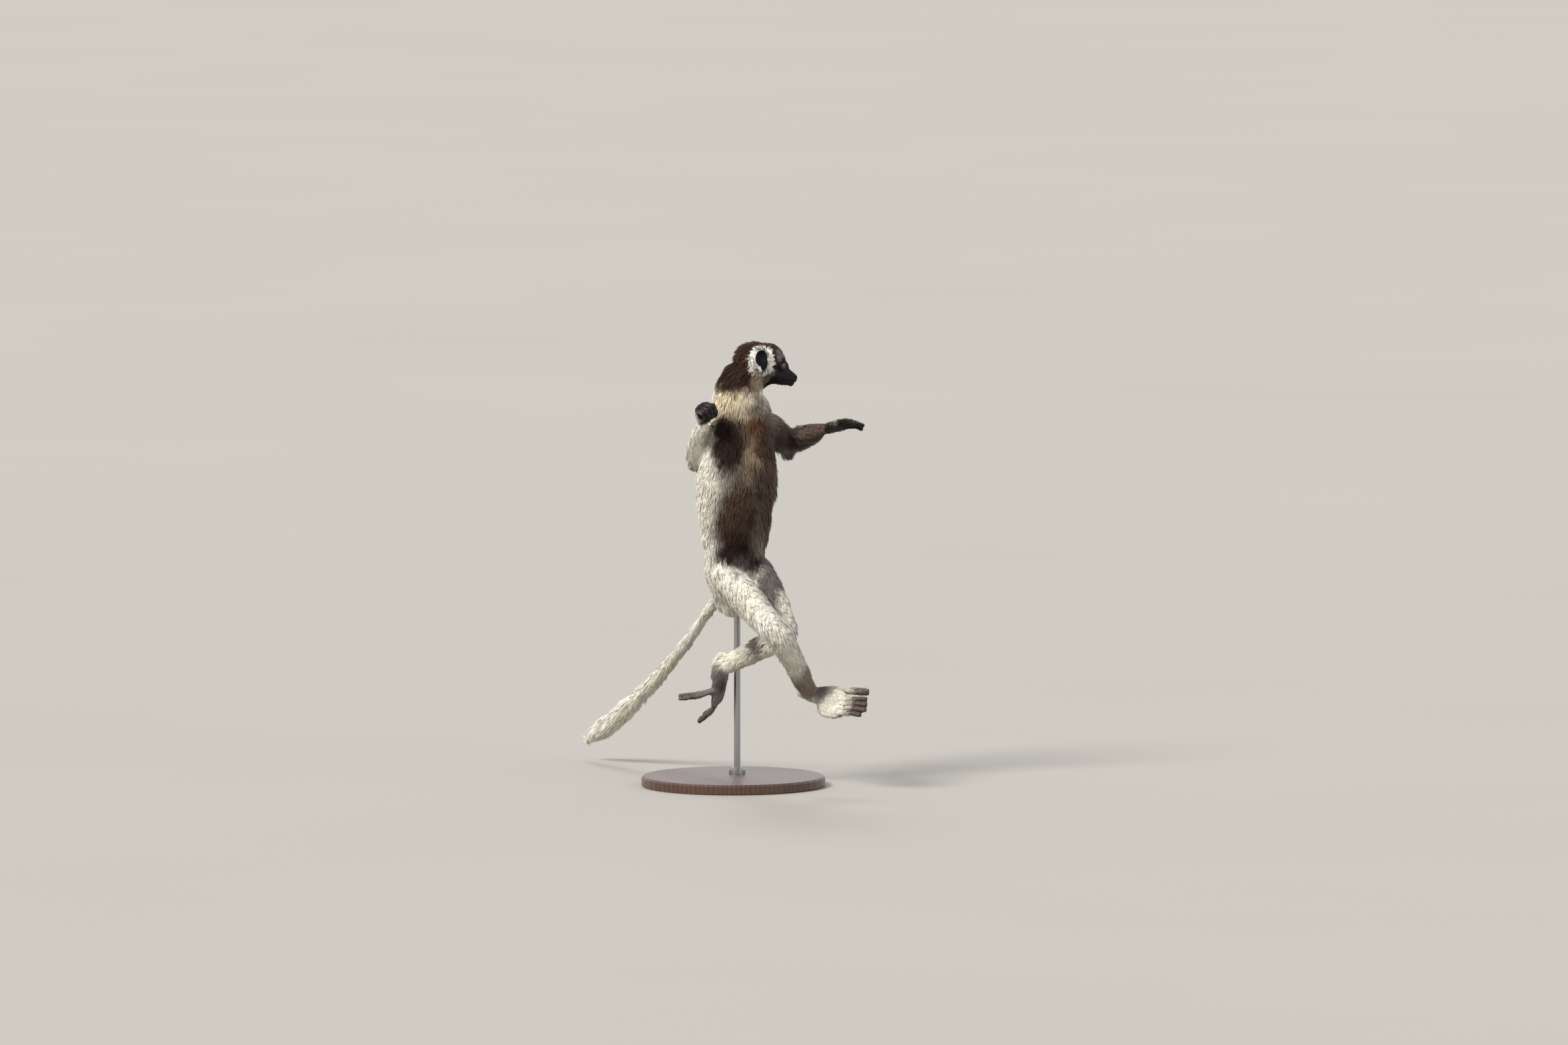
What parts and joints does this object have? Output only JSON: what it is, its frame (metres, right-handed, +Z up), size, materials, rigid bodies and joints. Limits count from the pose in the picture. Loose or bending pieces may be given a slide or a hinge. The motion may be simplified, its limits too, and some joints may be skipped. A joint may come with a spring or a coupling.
{
  "type": "sifaka lemur model on stand",
  "caption": "Life-size still model of a leaping Verreaux's sifaka, arms out, knees bent and tail trailing, held above a round base by a slim rod.",
  "frame": {"origin": "centre of the underside of the stand's round base, on the floor below the pelvis", "axes": "+Z up; the animal travels towards +X, turns its belly towards -Y and trails its tail towards +Y"},
  "size_m": [0.4543, 0.5353, 0.7037],
  "materials": {
    "white_coat": "soft cream-white fur",
    "brown_crown": "dark brown fur over black facial skin",
    "dark_skin": "bare black skin, satin",
    "amber_eye": "wet, glossy amber",
    "dark_wood": "dark satin lacquer",
    "steel": "satin steel"
  },
  "bodies": {
    "root": {"abdomen": "white_coat", "ear_left": "dark_skin", "ear_right": "dark_skin", "eye_left": "amber_eye", "eye_right": "amber_eye", "foot_left": "white_coat", "foot_right": "white_coat", "forearm_left": "white_coat", "forearm_right": "white_coat", "hand_left": "dark_skin", "hand_right": "dark_skin", "head": "brown_crown", "neck": "white_coat", "pelvis": "white_coat", "shank_left": "white_coat", "shank_right": "white_coat", "stand_base": "dark_wood", "stand_collar": "steel", "stand_rod": "steel", "tail_brush": "white_coat", "tail_middle": "white_coat", "tail_root": "white_coat", "thigh_left": "white_coat", "thigh_right": "white_coat", "thorax": "white_coat", "upper_arm_left": "white_coat", "upper_arm_right": "white_coat"}
  },
  "joints": []
}
